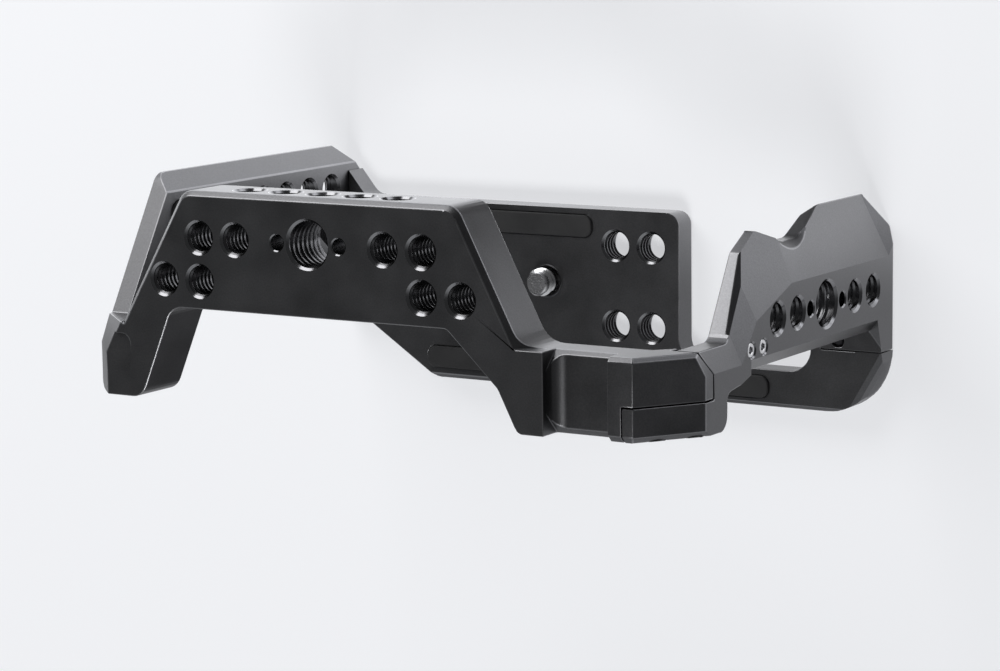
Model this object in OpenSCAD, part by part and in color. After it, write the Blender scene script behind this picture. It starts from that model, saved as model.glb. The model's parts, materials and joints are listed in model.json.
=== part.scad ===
// Camera cage for a full-frame mirrorless camera body.
// The cage stands upright on its base plate. +Z is up, +Y is the lens side and +X is the grip side.
// Every module is drawn about the top mount: X and Y are measured from the axis of the top
// 3/8 inch hole and Z from the top face, so heights are negative. The last module moves the
// assembled cage so that its origin is the centre of its footprint, on the underside.

/* [Camera bay] */
// Clear width between the two side walls
bay_w = 130; // [126:1:136]
// Clear height between the base plate and the bridge
bay_h = 82; // [80:0.5:90]
// Distance from the left wall's inner face to the lens axis
lens_x = 53.5; // [50:0.5:57]

/* [Bridge] */
// Thickness of the bridge over the camera
bridge_t = 12; // [11:0.5:15]
// Distance from the top hole row to the bridge's front face
bridge_front = 9.6; // [9:0.2:12]
// Distance from the top hole row to the bridge's rear edge
bridge_rear = 14.8; // [14.6:0.2:17]
// Distance from the top hole row to the rear end of the legs
leg_rear = 34.4; // [33:0.2:37]
// Half the width of the bridge's front edge
brow_half_w = 33; // [31:0.5:36]
// Chamfer along the top of the bridge's front edge
front_chamfer = 1.1; // [0.6:0.1:1.5]

/* [Right arm] */
// Depth of the arm, front to rear
arm_w = 16.6; // [15:0.2:20]
// How far the low part of the arm lies below the bridge's top
arm_drop = 4.2; // [3:0.2:6]
// Start of the low part of the arm, from the lens axis
arm_low_x = 54.5; // [53:0.5:57]
// Length of the low part of the arm
arm_low_len = 13.8; // [10:0.2:16]
// How far the arm's end block lies below the bridge's top
block_drop = 0.8; // [0.4:0.1:1.5]
// Length of the flat on the end block
block_flat = 5.5; // [3:0.1:7]
// Height of the slope from the block's flat down to the right wall
slope_h = 13; // [11:0.5:15]
// Chamfer along the arm's front top edge
arm_chamfer = 0.9; // [0.5:0.1:1.2]
// Chamfer along the arm's rear top edge
arm_rear_chamfer = 1.3; // [0.8:0.1:1.8]

/* [Walls] */
// Thickness of the left wall
left_t = 4.5; // [4:0.1:6]
// Depth of the left wall's front strip
strip_w = 17; // [15:0.5:22]
// Thickness of the right wall
right_t = 6.2; // [5.5:0.1:8]
// Distance from the top hole row back to the right wall's rear edge
right_rear = 25; // [24:0.2:27]
// Distance from the top hole row forward to the right wall's front edge
right_front = 4.6; // [4:0.1:6]
// Distance from the top hole row back to the right wall's hole row
side_row = 15.4; // [15:0.1:16.2]
// Height of the side hole row's centre above the base plate's underside
side_row_z = 32.7; // [32:0.1:34]
// Joint line between two pieces of the frame
joint_gap = 0.3; // [0.2:0.05:0.5]

/* [Base plate] */
// Thickness of the base plate
base_t = 6; // [6:0.25:8]
// Distance from the top hole row back to the base plate's rear edge
base_rear = 43.4; // [42:0.2:46]
// Distance from the top hole row back to the base plate's front edge
base_front = 2; // [0:0.2:4]
// Thickness of the feet that the walls lay into the base plate
foot_t = 3; // [2.5:0.25:3.5]
// Width of those feet
foot_w = 8; // [7.4:0.2:10]
// Distance from the top hole row back to the camera screw
screw_y = 19; // [17:0.5:21]

/* [Threads] */
// Major diameter of the 1/4"-20 threads
quarter_d = 6.35; // [6.35:0.05:6.5]
// Major diameter of the 3/8"-16 threads
three_eighth_d = 9.525; // [9.525:0.05:9.7]
// Pitch of the hole rows
hole_pitch = 9; // [8.8:0.1:9.2]
// Distance from a 3/8 inch hole to each of its locating pin holes
pin_offset = 7.5; // [7.4:0.1:8]
// Diameter of the locating pin holes
pin_hole_d = 3.2; // [3:0.1:3.4]
// Countersink at the mouth of every threaded hole
mouth_break = 0.5; // [0.3:0.1:0.7]
// Depth of the blind threads in the bridge's front face
front_hole_depth = 4.2; // [3.6:0.1:4.6]

/* [Camera screw] */
// Diameter of the screw's head
head_d = 14; // [13:0.5:15]
// Thickness of the screw's head
head_t = 3; // [2.6:0.1:3.2]
// Length of thread that stands above the base plate
thread_reach = 4.5; // [4:0.1:5.5]
// Diameter of the recess for the head and its ring
recess_d = 25; // [24.4:0.1:27]
// Depth of that recess
recess_h = 3.8; // [3.8:0.1:4]
// Diameter of the ring's wire
ring_wire_d = 1.5; // [1.2:0.1:1.8]
// Radius of the ring, at the middle of its wire
ring_r = 10.5; // [9.5:0.1:10.8]
// Thickness of the washer under the head
washer_t = 0.4; // [0.3:0.1:0.5]

/* [Fasteners and pads] */
// Diameter of the assembly screws
screw_d = 3; // [2.5:0.1:3]
// Diameter of their countersunk heads
screw_head_d = 5.6; // [5:0.1:6]
// Diameter of the dowels in the right foot
dowel_d = 2.5; // [2:0.1:2.5]
// Distance between the two strap lug set screws
lug_screw_pitch = 5.2; // [4.4:0.1:6]
// Thickness of the rubber pads
pad_t = 1.2; // [1:0.1:1.5]
// How far a pad is sunk into its pocket
pad_sink = 0.6; // [0.4:0.1:0.8]

/* [Hidden] */

$fn = 48;
FAR = 200;
EPS = 0.01;
BLACK = [0.11, 0.11, 0.12];
STEEL = [0.72, 0.72, 0.74];
RUBBER = [0.05, 0.05, 0.05];

// Faces of the camera bay and of the cage
left_in = -lens_x;
left_out = left_in - left_t;
right_in = left_in + bay_w;
right_out = right_in + right_t;
under_bridge = -bridge_t;
base_top = under_bridge - bay_h;
base_under = base_top - base_t;
lap_z = base_top - foot_t;

// Right arm and the slope at its end
arm_rear = -leg_rear;
arm_front = arm_rear + arm_w;
block_x = arm_low_x + arm_low_len;
slope_x = block_x + block_flat;
slope_foot = -block_drop - slope_h;
slope_n = [slope_h, 0, right_out - slope_x];
tongue_w = 6.8;
tongue_front = arm_rear + tongue_w;
tongue_x = block_x + 3.2;
arm_seam_z = slope_foot - 3.1;
seam_rise = 4;
corner_cut = 7.3;
rear_chamfer = 2.9;

// Side hole row
side_z = base_under + side_row_z;
side_quarters = [for (k = [1.5, 2.5], s = [-1, 1]) s * k * hole_pitch];
left_row = [for (k = [0 : 4]) base_top + 7 + k * hole_pitch];

// Left leg: a bevel along the outer side, and one along the diagonal edge
leg_bevel = 6.2;
leg_top_x = left_out + leg_bevel;
diag_dir = [-0.505, -0.863];
diag_out = [diag_dir.y, -diag_dir.x];
brow_left = [-brow_half_w + 1.8, bridge_front];
brow_right = [brow_half_w + 1.9, bridge_front];
arm_root = [49.1, arm_front];
brow_r = 4;
wall_slope = 0.594;
shoulder_y = -18.8;
shoulder_z = -10;
shoulder_x = brow_left.x + (shoulder_y - bridge_front) * diag_dir.x / diag_dir.y;

// Relief let into the top of the left leg, deepest at its front
relief_depth = 0.9;
relief_x = [-54, -45.5];
relief_y = [-29, -21.2];

// Facets milled on the outside of the right wall
facet_tilt = 17;
row_facet_y = -9;
nose_facet_dir = [0.341, -0.94];
nose_facet_at = [-14.6, -35.5];
scoop_at = [11.2, -56];
scoop_r = 10.6;
flank_top = -62;
arm_facet_y = -22.5;
lug_y = -20.2;
lug_z = -33.3;

// Positions of the assembly screws
arm_screw_at = [[slope_x + 0.6, -7.6], [slope_x + 5.2, -14.3]];
arm_dowel_at = [slope_x + 2.9, -11];
arm_screw_len = 11.5;
right_foot_x = right_in - foot_w / 2;
left_foot_x = left_in + foot_w / 2;
right_foot_ys = [-11.5, -19.5, -27.5];
left_foot_ys = [-22.5, -14.5, -6.5];
foot_dowel_ys = [-15.5, -23.5];
right_foot_y = [-29.5, -9.2];
left_foot_y = [-26, -3];
fit = 0.05;

// --- outlines -------------------------------------------------------------

function unit(v) = v / norm(v);

// Centre of the arc that rounds the corner p between the points a and b to radius r
function arc_centre(a, p, b, r) =
    let (u = unit(a - p), v = unit(b - p))
    p + unit(u + v) * r / sin(acos(u * v) / 2);

// Points of that arc
function corner(a, p, b, r) =
    let (u = unit(a - p), v = unit(b - p), t = r / tan(acos(u * v) / 2),
         c = arc_centre(a, p, b, r), s = p + u * t - c, e = p + v * t - c,
         start = atan2(s.y, s.x), turn = (atan2(e.y, e.x) - start + 540) % 360 - 180)
    let (steps = ceil(abs(turn) * sqrt(r) / 26))
    [for (i = [0 : steps])
        c + r * [cos(start + turn * i / steps), sin(start + turn * i / steps)]];

function flat(p) = [p.x, p.y];

// An outline from [x, y] or [x, y, radius] corners
function outline(pts) =
    [for (i = [0 : len(pts) - 1])
        let (p = pts[i], a = pts[(i + len(pts) - 1) % len(pts)], b = pts[(i + 1) % len(pts)])
        each (len(p) > 2 ? corner(flat(a), flat(p), flat(b), p[2]) : [flat(p)])];

// --- shared shapes --------------------------------------------------------

// Everything on the n side of the plane through p
module beyond(p, n)
    translate(p)
        rotate([0, acos(n.z / norm(n)), atan2(n.y, n.x)])
            translate([-FAR / 2, -FAR / 2, 0])
                cube([FAR, FAR, FAR]);

// A plate with its outline in the Y-Z plane, from x0 to x1
module yz_plate(pts, x0, x1)
    translate([x0, 0, 0])
        rotate([90, 0, 90])
            linear_extrude(x1 - x0)
                polygon(outline(pts));

// A bar with its outline in the X-Z plane, from y0 to y1
module xz_bar(pts, y0, y1)
    translate([0, y1, 0])
        rotate([90, 0, 0])
            linear_extrude(y1 - y0)
                polygon(outline(pts));

// A plate with its outline in plan, from z0 to z1
module plan_plate(pts, z0, z1)
    translate([0, 0, z0])
        linear_extrude(z1 - z0)
            polygon(outline(pts));

// A hole of diameter d from the mouth at the origin down to -depth, with its mouth broken
module hole(d, depth, mouth = mouth_break) {
    translate([0, 0, -depth])
        cylinder(d = d, h = depth + 1);
    if (mouth > 0)
        translate([0, 0, -mouth])
            cylinder(d1 = d, d2 = d + 2 * (mouth + 1), h = mouth + 1);
}

// A hole right through a wall of thickness t, broken at both mouths
module through(d, t, mouth = mouth_break) {
    hole(d, t + 1, mouth);
    translate([0, 0, -t])
        rotate([180, 0, 0])
            hole(d, mouth + EPS, mouth);
}

// Turns the drawn +Z to point along +X, -X, +Y or -Z
module to_right() rotate([0, 90, 0]) children();
module to_left() rotate([0, -90, 0]) children();
module to_front() rotate([-90, 0, 0]) children();
module to_rear() rotate([90, 0, 0]) children();
module to_floor() rotate([180, 0, 0]) children();

// A 3/8 inch hole with its two locating pin holes along X
module located_hole(t) {
    through(three_eighth_d, t);
    for (s = [-1, 1])
        translate([s * pin_offset, 0, 0])
            through(pin_hole_d, t, mouth_break / 2);
}

// A countersunk screw with its head at the origin, pointing up
module countersunk_screw(len) {
    difference() {
        cylinder(d1 = screw_head_d, d2 = screw_d, h = (screw_head_d - screw_d) / 2);
        translate([0, 0, -EPS])
            cylinder(d = 2, h = 1.1, $fn = 6);
    }
    translate([0, 0, (screw_head_d - screw_d) / 2])
        cylinder(d = screw_d, h = len - (screw_head_d - screw_d) / 2);
}

// The bore and seat for that screw
module countersunk_hole(len) {
    translate([0, 0, -1])
        cylinder(d = screw_d + 2 * fit, h = len + 1);
    translate([0, 0, -1])
        cylinder(d = screw_head_d + 2 * fit, h = 1 + EPS);
    cylinder(d1 = screw_head_d + 2 * fit, d2 = screw_d + 2 * fit,
             h = (screw_head_d - screw_d) / 2);
}

// A rubber pad with round ends, of size w by l, standing up from the origin
module pad(w, l, t)
    linear_extrude(t)
        polygon(outline([for (p = [[-1, -1], [1, -1], [1, 1], [-1, 1]])
                         [p.x * w / 2, p.y * l / 2, min(w, l) / 2.4]]));

// --- main frame: bridge, right arm and left wall --------------------------

// Edge of the bridge's plan, with both legs and the start of the right arm
bridge_plan = [
    [brow_left.x, bridge_front, brow_r],
    [shoulder_x, shoulder_y],
    [left_out, shoulder_y],
    [left_out, arm_rear, 2.5],
    [-42.6, arm_rear, 4],
    [-34.4, -bridge_rear, 4],
    [32.6, -bridge_rear, 2],
    [44.2, -25.8, 3],
    [48.6, arm_rear, 2.5],
    [52, arm_rear],
    [52, arm_front],
    [arm_root.x, arm_root.y, 6],
    [brow_right.x, brow_right.y, brow_r]];

// Side of the right arm: the low part, then the end block with its slope
arm_side = [
    [50, 0],
    [arm_low_x, 0],
    [arm_low_x, -arm_drop, 3],
    [block_x, -arm_drop, 1.5],
    [block_x, -block_drop],
    [slope_x, -block_drop],
    [right_out, slope_foot],
    [right_out, arm_seam_z],
    [right_in, arm_seam_z],
    [block_x + 3.7, under_bridge],
    [50, under_bridge]];

// The left wall's plate: a strip in front, open to the ports behind it
left_side = [
    [bridge_front, shoulder_z - (bridge_front - shoulder_y) * wall_slope, 4.2],
    [bridge_front, base_under + 6.7],
    [3, base_under],
    [-30, base_under, 2],
    [-30, base_under + 8, 3],
    [-14, base_under + 14, 6],
    [bridge_front - strip_w, base_under + 22, 6],
    [bridge_front - strip_w, -30, 8],
    [-16, -21.5, 8],
    [arm_rear, -18, 3],
    [arm_rear, shoulder_z],
    [shoulder_y, shoulder_z]];

module leg_bevels() {
    beyond([leg_top_x, 0, 0], [-1, 0, 1]);
    beyond([brow_left.x, brow_left.y, 0], [diag_out.x, diag_out.y, 0.96]);
}

// Chamfer round one front corner of the bridge, from the angle a0 to a1
module brow_corner(centre, a0, a1)
    translate([centre.x, centre.y, 0])
        rotate([0, 0, a0])
            rotate_extrude(angle = a1 - a0)
                polygon([[brow_r - front_chamfer, 0], [brow_r - front_chamfer, 1],
                         [brow_r + 2, 1], [brow_r + 2, -front_chamfer - 2]]);

// Chamfer along the top of the bridge's front edge, carried on towards the arm
module brow_chamfer() {
    edge = unit(arm_root - brow_right);
    out = [-edge.y, edge.x];
    beyond([0, bridge_front - front_chamfer, 0], [0, 1, 1]);
    intersection() {
        beyond([brow_right.x, brow_right.y, -front_chamfer], [out.x, out.y, 1]);
        translate([0, arm_front, -bridge_t / 2])
            cube([FAR, FAR, bridge_t]);
    }
    brow_corner(arc_centre(arm_root, brow_right, brow_left, brow_r), atan2(out.y, out.x), 90);
    brow_corner(arc_centre(brow_right, brow_left, brow_left + diag_dir, brow_r),
                90, atan2(diag_out.y, diag_out.x));
}

module leg_relief()
    intersection() {
        plan_plate([[relief_x[0], relief_y[0]], [relief_x[1], relief_y[0]],
                    [relief_x[1], relief_y[1], 2.2], [relief_x[0], relief_y[1]]], -2, 1);
        beyond([0, relief_y[0], 0], [0, relief_depth, relief_y[1] - relief_y[0]]);
    }

// The notch in the arm's end block that takes the right wall's tongue and horn
module arm_lap(gap) {
    translate([tongue_x - gap, arm_rear - 1, -FAR / 2])
        cube([FAR, tongue_w + 1 + gap, FAR]);
    yz_plate([[arm_facet_y, arm_seam_z], [arm_front + 1, arm_seam_z + seam_rise * 1.2],
              [arm_front + 1, arm_seam_z - 5], [arm_facet_y, arm_seam_z - 5]],
             right_in - 1, right_out + 1);
}

// Chamfers along the arm's top edges, on the side s of its middle: 1 for front, -1 for rear
module arm_edge(s) {
    edge_y = (s > 0 ? arm_front - arm_chamfer : arm_rear + arm_rear_chamfer);
    intersection() {
        beyond([0, edge_y, -arm_drop], [0, s, 1]);
        translate([arm_low_x, arm_rear - 1, -arm_drop - 2])
            cube([block_x - arm_low_x, arm_w + 2, arm_drop + 2 - block_drop]);
    }
    intersection() {
        union() {
            beyond([0, edge_y, -block_drop], [0, s, 1]);
            beyond([slope_x, edge_y, -block_drop], unit(slope_n) + [0, s, 0]);
        }
        translate([block_x, arm_rear - 1, arm_seam_z])
            cube([FAR, arm_w + 2, FAR]);
    }
}

// The facet that leans in towards the front on both sides of the arm's seam
module arm_facet()
    beyond([right_out, arm_facet_y, 0], [cos(facet_tilt), sin(facet_tilt), 0]);

module top_holes(t) {
    located_hole(t);
    for (s = [-1, 1]) {
        for (k = [2, 3])
            translate([s * k * hole_pitch, 0, 0])
                through(quarter_d, t);
        for (k = [3, 4])
            translate([s * k * hole_pitch, -hole_pitch, 0])
                through(quarter_d, t);
    }
}

module main_frame()
    color(BLACK)
        difference() {
            union() {
                plan_plate(bridge_plan, under_bridge, 0);
                xz_bar(arm_side, arm_rear, arm_front);
                yz_plate(left_side, left_out, left_in);
                translate([left_in - 1, left_foot_y[0], lap_z])
                    cube([foot_w + 1, left_foot_y[1] - left_foot_y[0], foot_t]);
            }
            leg_bevels();
            brow_chamfer();
            arm_edge(1);
            arm_edge(-1);
            arm_lap(joint_gap);
            arm_facet();
            // chamfer inside the left wall's front edge
            intersection() {
                beyond([left_in, bridge_front - left_t + 0.5, 0], [1, 1, 0]);
                translate([left_in - left_t, 0, base_under])
                    cube([left_t + 1, bridge_front + 1, -base_under + under_bridge]);
            }
            top_holes(bridge_t);
            for (k = [-2 : 2])
                translate([k * hole_pitch, bridge_front, -bridge_t / 2])
                    to_front()
                        hole(quarter_d, front_hole_depth);
            for (z = left_row)
                translate([left_in, 0, z])
                    to_right()
                        through(quarter_d, left_t);
            leg_relief();
            for (p = arm_screw_at)
                translate([p.x, arm_rear, p.y])
                    to_front()
                        countersunk_hole(arm_screw_len + 0.5);
            translate([arm_dowel_at.x, tongue_front - 4, arm_dowel_at.y])
                to_front()
                    cylinder(d = dowel_d + 2 * fit, h = 9);
            for (y = left_foot_ys)
                translate([left_foot_x, y, base_under])
                    countersunk_hole(base_t + 1);
            wall_pad_pocket(left_in, 0);
            bridge_pad_pocket();
        }

// --- right wall -----------------------------------------------------------

// Outer line of the right wall, seen from the grip side
right_side = [
    [arm_rear, slope_foot],
    [tongue_front, slope_foot],
    [tongue_front, arm_seam_z - joint_gap],
    [arm_facet_y - 0.2, arm_seam_z - joint_gap],
    [arm_front, arm_seam_z + seam_rise * 0.94 - joint_gap],
    [arm_front, -25.9, 3],
    [-1.3, -35.6, 2],
    [2.3, -42.3, 1.5],
    [-1, -53, 6],
    [-1, -59.4, 6],
    [right_front, -71, 5],
    [right_front, base_under + corner_cut, 1.2],
    [right_front - corner_cut, base_under, 1.2],
    [right_foot_y[0], base_under],
    [right_foot_y[0], base_top],
    [-right_rear, base_top + 2],
    [-right_rear, -33.2, 2],
    [-26.5, -28.2, 1.5],
    [-27.2, -22.8, 2],
    [arm_rear, -22.6, 3]];

module right_facets() {
    // lower facet, in front of the hole row, running out towards the base
    intersection() {
        beyond([right_out, row_facet_y, 0], [cos(facet_tilt), sin(facet_tilt), 0]);
        beyond([right_out - 0.5, row_facet_y + 6.5, base_under - 1.5], [0.953, 0.204, 0.221]);
    }
    // upper facet, leaning in towards the nose
    beyond([right_out, nose_facet_at.x, nose_facet_at.y],
           [cos(facet_tilt), -nose_facet_dir.y * sin(facet_tilt), nose_facet_dir.x * sin(facet_tilt)]);
    // small facet on the tip of the nose
    beyond([right_out - 3.4, -1.7, -35.4], [0.82, 0.52, 0.25]);
    // facet beside the arm, and the slope where it ends above the set screws
    intersection() {
        arm_facet();
        beyond([right_out, arm_facet_y, -29], [0.94, 0.215, 0.266]);
    }
    // broken edge between the upper facet and the wall's front
    intersection() {
        beyond([right_out - 3.2, -8.9, -31.2], [0.62, 0.45, 0.65]);
        beyond([right_out - 2, arm_front + 1.5, -26.2], [0.14, 0.96, -0.1]);
    }
    // the arm's slope, carried on over the tongue
    beyond([slope_x, 0, -block_drop], slope_n);
    // chamfer along the rear edge, ending on a small web above the base plate
    intersection() {
        union() {
            beyond([right_out, -right_rear + rear_chamfer, 0], [1, -1, 0]);
            beyond([0, -right_rear, 0], [0, -1, 0]);
        }
        beyond([right_out, -right_rear + rear_chamfer, base_top + 1.9], [-0.325, -0.269, 0.907]);
        translate([right_in - 1, -FAR / 2, base_top])
            cube([FAR, FAR, -33 - base_top]);
    }
    // inner chamfer along the front edge
    intersection() {
        beyond([right_in + 2, right_front, 0], [-1, 1, 0]);
        translate([right_in - 1, -FAR / 2, base_under - 1])
            cube([FAR, FAR, flank_top - base_under]);
    }
    // finger scoop
    translate([right_in + 1, scoop_at.x, scoop_at.y])
        to_right()
            cylinder(r1 = scoop_r, r2 = scoop_r + 8, h = 8, $fn = 96);
}

module right_wall()
    color(BLACK)
        difference() {
            union() {
                yz_plate(right_side, right_in, right_out);
                intersection() {
                    xz_bar(arm_side, arm_rear, tongue_front);
                    translate([tongue_x, -FAR / 2, -FAR / 2])
                        cube([FAR, FAR, FAR]);
                }
                translate([right_in - foot_w, right_foot_y[0], lap_z])
                    cube([foot_w + 1, right_foot_y[1] - right_foot_y[0], foot_t]);
            }
            right_facets();
            arm_edge(-1);
            translate([right_out, -side_row, side_z])
                rotate([0, 90, 0]) {
                    located_hole(right_t);
                    for (x = side_quarters)
                        translate([x, 0, 0])
                            through(quarter_d, right_t);
                }
            for (k = [0, 1])
                translate([right_out, lug_y, lug_z - k * lug_screw_pitch])
                    to_right()
                        hole(screw_d + 2 * fit, right_t + 1, 0.3);
            for (p = arm_screw_at)
                translate([p.x, arm_rear, p.y])
                    to_front()
                        countersunk_hole(arm_screw_len + 0.5);
            translate([arm_dowel_at.x, tongue_front - 4, arm_dowel_at.y])
                to_front()
                    cylinder(d = dowel_d + 2 * fit, h = 9);
            for (y = right_foot_ys)
                translate([right_foot_x, y, base_under])
                    countersunk_hole(base_t + 1);
            for (y = foot_dowel_ys)
                translate([right_foot_x, y, lap_z - 2])
                    cylinder(d = dowel_d + 2 * fit, h = foot_t + 3);
            wall_pad_pocket(right_in, 1);
        }

// --- base plate -----------------------------------------------------------

battery_x = [34, 66];
base_corner = base_rear + right_foot_y[0] - joint_gap;
base_chamfer = 1;
battery_rear = -35;
corner_out = [-diag_dir.y, diag_dir.x];

base_plan = [
    [left_in + 0.1, 4],
    [left_in + 5, -base_front, 4],
    [battery_x[0], -base_front, 3],
    [battery_x[0], battery_rear, 5],
    [battery_x[1], battery_rear, 5],
    [battery_x[1], -6, 2],
    [72, -3.5],
    [right_in - 0.1, -3.5],
    [right_in - 0.1, right_foot_y[0] - joint_gap / 2],
    [right_out, right_foot_y[0] - joint_gap / 2],
    [right_out, -base_rear, base_corner],
    [-30, -base_rear, 5],
    [left_in + 0.1, -28, 4]];

base_quarters = [for (x = [2, 3], y = [-1, 1]) [x * hole_pitch, -screw_y + y * hole_pitch]];
base_three_eighth_x = -3.2 * hole_pitch;

module base_plate()
    color(BLACK)
        difference() {
            plan_plate(base_plan, base_under, base_top);
            // chamfer along the top of the rear edge
            beyond([0, -base_rear + base_chamfer, base_top], [0, -1, 1]);
            // chamfer across the rear right corner, and the steep face under it
            translate([right_out - 0.1, right_foot_y[0], base_top]) {
                beyond([0, 0, 0], [corner_out.x, corner_out.y, 1]);
                beyond([corner_out.x, corner_out.y, -1] * base_chamfer,
                       [corner_out.x, corner_out.y, 0.27]);
            }
            // laps for the walls' feet
            translate([left_in - 1, left_foot_y[0] - 0.1, lap_z])
                cube([foot_w + 1.1, left_foot_y[1] - left_foot_y[0] + 0.2, foot_t + 1]);
            translate([right_in - foot_w - 0.1, right_foot_y[0] - joint_gap, lap_z])
                cube([foot_w + 0.1, right_foot_y[1] - right_foot_y[0] + joint_gap + 0.1, foot_t + 1]);
            for (y = left_foot_ys)
                translate([left_foot_x, y, base_under])
                    countersunk_hole(base_t + 1);
            for (y = right_foot_ys)
                translate([right_foot_x, y, base_under])
                    countersunk_hole(base_t + 1);
            for (y = foot_dowel_ys)
                translate([right_foot_x, y, lap_z - 2])
                    cylinder(d = dowel_d + 2 * fit, h = foot_t + 3);
            // recess and bore for the camera screw
            translate([0, -screw_y, base_under - 1])
                cylinder(d = recess_d, h = recess_h + 1);
            translate([0, -screw_y, base_top])
                hole(quarter_d + 2 * fit, base_t + 1);
            for (p = base_quarters)
                translate([p.x, p.y, base_top])
                    through(quarter_d, base_t);
            key_pocket();
            translate([base_three_eighth_x, -screw_y, base_top])
                located_hole(base_t);
            base_pads(pad_t);
        }

// --- screws and dowels ----------------------------------------------------

module lug_set_screws()
    color(STEEL)
        for (k = [0, 1])
            translate([right_out - 0.25, lug_y, lug_z - k * lug_screw_pitch])
                to_left()
                    difference() {
                        union() {
                            cylinder(d = screw_d, h = right_t - pad_sink - 0.7);
                            translate([0, 0, right_t - pad_sink - 0.7])
                                cylinder(d1 = screw_d, d2 = screw_d - 1, h = 0.4);
                        }
                        translate([0, 0, -EPS])
                            cylinder(d = 1.7, h = 1.6, $fn = 6);
                    }

module arm_screws()
    color(STEEL)
        for (p = arm_screw_at)
            translate([p.x, arm_rear, p.y])
                to_front()
                    countersunk_screw(arm_screw_len);

module arm_dowel()
    color(STEEL)
        translate([arm_dowel_at.x, tongue_front - 3.7, arm_dowel_at.y])
            to_front()
                cylinder(d = dowel_d, h = 8.4);

module foot_screws(x, ys)
    color(STEEL)
        for (y = ys)
            translate([x, y, base_under])
                countersunk_screw(base_t - 0.2);

module right_foot_screws() foot_screws(right_foot_x, right_foot_ys);
module left_foot_screws() foot_screws(left_foot_x, left_foot_ys);

module foot_dowels()
    color(STEEL)
        for (y = foot_dowel_ys)
            translate([right_foot_x, y, lap_z - 1.8])
                cylinder(d = dowel_d, h = foot_t + 1.6);

// --- camera screw ---------------------------------------------------------

web_under = base_under + recess_h;
head_top = web_under - washer_t;
ring_z = head_top - head_t / 2;
neck_d = 4.9;

module camera_screw()
    color(STEEL)
        translate([0, -screw_y, 0])
            difference() {
                union() {
                    translate([0, 0, head_top - head_t])
                        cylinder(d = head_d, h = head_t);
                    translate([0, 0, head_top - EPS])
                        cylinder(d = neck_d, h = base_top - head_top + 0.4);
                    translate([0, 0, base_top + 0.3])
                        cylinder(d = quarter_d, h = thread_reach - 0.8);
                    translate([0, 0, base_top + thread_reach - 0.5])
                        cylinder(d1 = quarter_d, d2 = quarter_d - 1, h = 0.5);
                }
                // coin slot
                translate([-head_d, -0.9, head_top - head_t - 1])
                    cube([2 * head_d, 1.8, 2]);
                // sockets for the ring's ends
                for (s = [-1, 1])
                    translate([s * head_d / 2, 0, ring_z])
                        rotate([0, s * 90, 0])
                            translate([0, 0, -2])
                                cylinder(d = ring_wire_d + 2 * fit, h = 3);
            }

module screw_washer()
    color(RUBBER)
        translate([0, -screw_y, head_top])
            difference() {
                cylinder(d = head_d - 1, h = washer_t);
                translate([0, 0, -1])
                    cylinder(d = neck_d + 2 * fit, h = washer_t + 2);
            }

module screw_ring()
    color(STEEL)
        translate([0, -screw_y, ring_z])
            union() {
                rotate([0, 0, 180])
                    rotate_extrude(angle = 180)
                        translate([ring_r, 0])
                            circle(d = ring_wire_d, $fn = 24);
                for (s = [-1, 1])
                    rotate([0, s * 90, 0])
                        translate([0, 0, head_d / 2 - 1.6])
                            cylinder(d = ring_wire_d, h = ring_r + ring_wire_d / 2 - head_d / 2 + 1.6, $fn = 24);
            }

// --- hex key, kept in the underside of the base plate ----------------------

key_af = 1.5;
key_at = [-24.6, -40];
key_long = 44;
key_short = 14;
key_bend = 3;
key_z = base_under + 1.3;
key_play = 0.3;
notch_d = 9;
magnet_d = 3;
magnet_h = 1.7;
magnet_xs = [for (k = [0.23, 0.6]) key_at.x + k * key_long];

// The key lies along the rear edge, with its short leg towards the front
module hex_key()
    color(STEEL)
        translate([key_at.x, key_at.y, key_z]) {
            translate([key_bend, 0, 0])
                to_right()
                    cylinder(d = key_af / cos(30), h = key_long - key_bend, $fn = 6);
            translate([key_bend, key_bend, 0])
                rotate([0, 0, 180])
                    rotate_extrude(angle = 90)
                        translate([key_bend, 0])
                            circle(d = key_af / cos(30), $fn = 6);
            translate([0, key_bend, 0])
                to_front()
                    rotate([0, 0, 30])
                        cylinder(d = key_af / cos(30), h = key_short - key_bend, $fn = 6);
        }

module key_pocket() {
    w = key_af / cos(30) / 2 + key_play;
    h = key_z - base_under + key_af / 2 + key_play;
    translate([key_at.x, key_at.y, 0]) {
        plan_plate([[-w, -w], [key_long + w, -w], [key_long + w, w], [w + key_bend / 2, w],
                    [w, w + key_bend / 2], [w, key_short + w], [-w, key_short + w]],
                   base_under - 1, base_under + h);
        // notch for a fingertip
        translate([key_long - notch_d, notch_d / 4, base_under - 1])
            cylinder(d = notch_d, h = key_z - base_under + key_af / 2 + 1);
    }
    for (x = magnet_xs)
        translate([x, key_at.y, base_under + h - EPS])
            cylinder(d = magnet_d + 2 * fit, h = magnet_h + 2 * EPS + fit);
}

module key_magnets()
    color(STEEL)
        for (x = magnet_xs)
            translate([x, key_at.y, key_z + key_af / 2 + key_play + fit])
                cylinder(d = magnet_d, h = magnet_h);

// --- pads -----------------------------------------------------------------

wall_pad_size = [9, 16];
bridge_pad_size = [44, 8.4];
front_pad_size = [56, 5];
front_pad_at = [-16, -base_front - 4];
rear_pad_size = [60, 5];
rear_pad_at = [-2, -base_rear + 5];
side_pad_size = [12, 5];
side_pad_at = [50, -base_rear + 4.4];
wall_pad_y = [0, -19.5];
wall_pad_z = [-34, -37];

module wall_pad(side, grow, t) {
    x = side == 0 ? left_in : right_in;
    translate([x, wall_pad_y[side] - (side == 0 ? 0 : 0.6), wall_pad_z[side]])
        rotate([0, side == 0 ? 90 : -90, 0])
            translate([0, 0, -pad_sink])
                pad(wall_pad_size.y + grow, wall_pad_size.x * (side == 0 ? 0.8 : 0.7) + grow, t);
}

module wall_pad_pocket(x, side) wall_pad(side, 0.1, pad_t + 1);

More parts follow.
